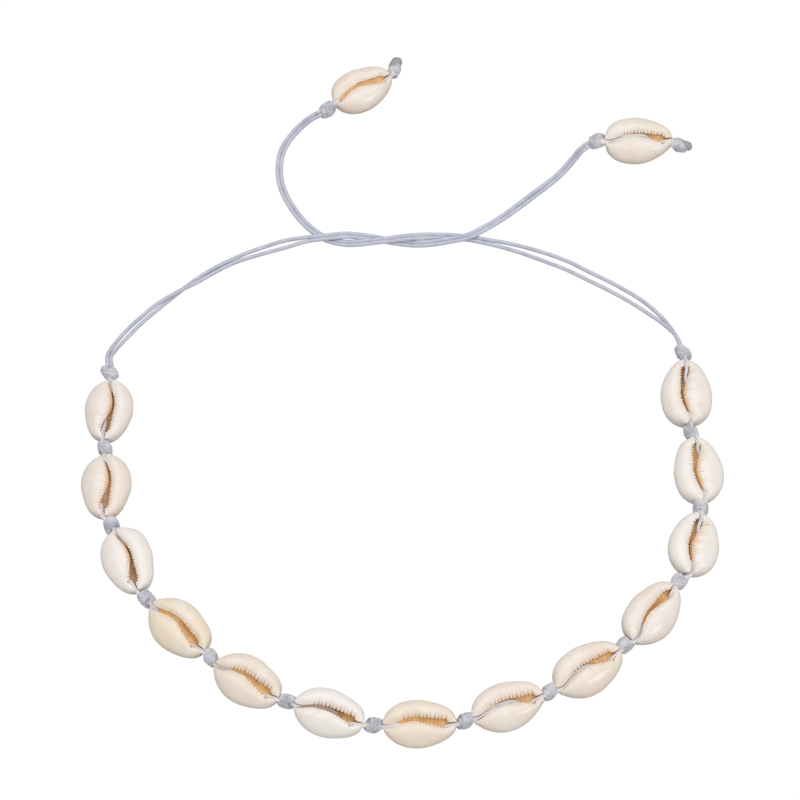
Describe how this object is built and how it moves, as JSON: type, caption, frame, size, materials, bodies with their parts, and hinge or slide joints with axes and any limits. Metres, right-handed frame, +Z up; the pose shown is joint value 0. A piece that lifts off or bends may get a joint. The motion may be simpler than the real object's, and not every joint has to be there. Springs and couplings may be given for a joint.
{
  "type": "cowrie shell necklace",
  "caption": "Cowrie shells knotted one after another on a doubled waxed cord, closed by two twisted ties that end in a shell each; worn round the neck.",
  "frame": {"origin": "on the surface that the necklace lies on, under the middle of the shell string", "axes": "+Z up out of the surface, towards the open side of the shells; +X to the right and +Y towards the nape, where the ties cross"},
  "size_m": [0.1643, 0.1958, 0.0098],
  "materials": {
    "shell": "natural glossy cowrie enamel, cream with tan inside",
    "knot": "waxed twisted cord, wound tight",
    "cord": "waxed twisted cord, satin"
  },
  "bodies": {
    "root": {"shell_01": "shell", "shell_02": "shell", "shell_03": "shell", "shell_04": "shell", "shell_05": "shell", "shell_06": "shell", "shell_07": "shell", "shell_08": "shell", "shell_09": "shell", "shell_10": "shell", "shell_11": "shell", "shell_12": "shell", "shell_13": "shell", "knot_01": "knot", "knot_02": "knot", "knot_03": "knot", "knot_04": "knot", "knot_05": "knot", "knot_06": "knot", "knot_07": "knot", "knot_08": "knot", "knot_09": "knot", "knot_10": "knot", "knot_11": "knot", "knot_12": "knot", "knot_13": "knot", "knot_14": "knot", "shell_thread": "cord", "end_shell_left": "shell", "end_shell_right": "shell", "end_thread_left": "cord", "end_thread_right": "cord", "end_knot_left_inner": "knot", "end_knot_left_last": "knot", "end_knot_right_inner": "knot", "end_knot_right_last": "knot", "tie_left_a": "cord", "tie_left_b": "cord", "tie_right_a": "cord", "tie_right_b": "cord"}
  },
  "joints": []
}
